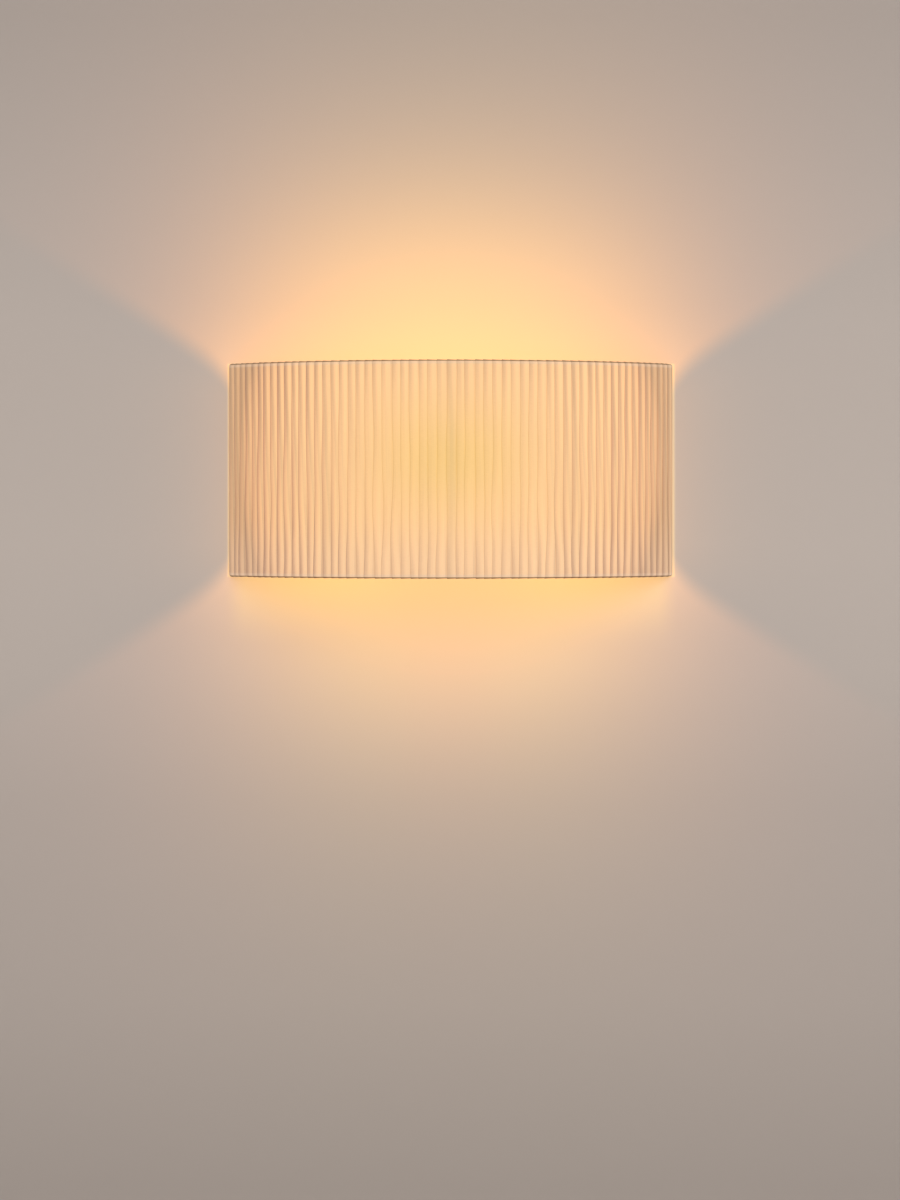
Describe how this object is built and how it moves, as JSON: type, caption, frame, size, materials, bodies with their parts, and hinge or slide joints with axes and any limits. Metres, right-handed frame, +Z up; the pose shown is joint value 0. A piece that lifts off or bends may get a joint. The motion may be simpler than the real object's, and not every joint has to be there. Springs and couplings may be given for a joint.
{
  "type": "wall light",
  "caption": "Wall light with a half-drum shade of overlapped ribbon, open above and below, and one upright globe bulb in a holder on a folded arm.",
  "frame": {"origin": "middle of the wall bracket's rear face, on the wall, at the shade's mid height", "axes": "+Z up the wall, +Y into the wall, so the shade's front faces -Y, and +X to the right seen from the room"},
  "size_m": [0.36, 0.091, 0.173],
  "materials": {
    "ribbon": "raw cotton ribbon, overlapped turns",
    "white_paint": "satin powder coat",
    "frame_paint": "white coated wire",
    "zinc_steel": "zinc plated sheet",
    "screw_steel": "plated fasteners",
    "brass": "plain brass",
    "holder_white": "moulded thermoset",
    "insert_white": "heat proof moulding",
    "block_white": "translucent nylon",
    "white_rubber": "soft rubber",
    "brown_wire": "silicone insulation",
    "blue_wire": "silicone insulation",
    "earth_wire": "green and yellow insulation",
    "opal_glass": "frosted, lit",
    "cap_metal": "rolled sheet",
    "black_glass": "cap insulator",
    "solder": "solder tip"
  },
  "bodies": {
    "wall_unit": {"wall_bracket": "zinc_steel", "canopy": "white_paint", "canopy_screws": "screw_steel", "cable_bush": "white_rubber", "outlet_grommet": "white_rubber", "terminal_block": "block_white", "terminal_sleeves": "brass", "terminal_screws": "screw_steel", "block_screws": "screw_steel", "earth_washer": "screw_steel", "earth_lug": "brass", "earth_screw": "screw_steel", "earth_wire": "earth_wire", "live_wire": "brown_wire", "neutral_wire": "blue_wire", "lamp_arm": "white_paint", "arm_rivets": "screw_steel", "stem": "brass", "stem_washer": "screw_steel", "stem_nut": "brass", "holder_base": "holder_white", "holder_insert": "insert_white", "holder_shell": "holder_white", "screw_shell": "brass", "centre_contact": "brass"},
    "shade": {"ribbon_shade": "ribbon", "top_rim_wire": "frame_paint", "bottom_rim_wire": "frame_paint", "left_end_strut": "frame_paint", "left_strut": "frame_paint", "centre_strut": "frame_paint", "right_strut": "frame_paint", "right_end_strut": "frame_paint", "top_back_wire": "frame_paint", "bottom_back_wire": "frame_paint", "bumper_sleeves": "white_rubber"},
    "bulb_tip": {"cap_contact": "solder"},
    "bulb": {"bulb_globe": "opal_glass", "bulb_cap": "cap_metal", "cap_insulator": "black_glass"}
  },
  "joints": [
    {"name": "shade_lift", "type": "slide", "parent": "wall_unit", "child": "shade", "axis": [0, 0, 1], "range_m": [0, 0.006]},
    {"name": "bulb_rise", "type": "slide", "parent": "wall_unit", "child": "bulb_tip", "axis": [0, 0, 1], "range_m": [0, 0.02177]},
    {"name": "bulb_turn", "type": "hinge", "parent": "bulb_tip", "child": "bulb", "pos_m": [0, -0.042, 0], "axis": [0, 0, 1], "range_deg": [0, 2160]}
  ],
  "couplings": [
    {"joint": "bulb_rise", "follows": "bulb_turn", "m_per_rad": 0.00057751}
  ]
}
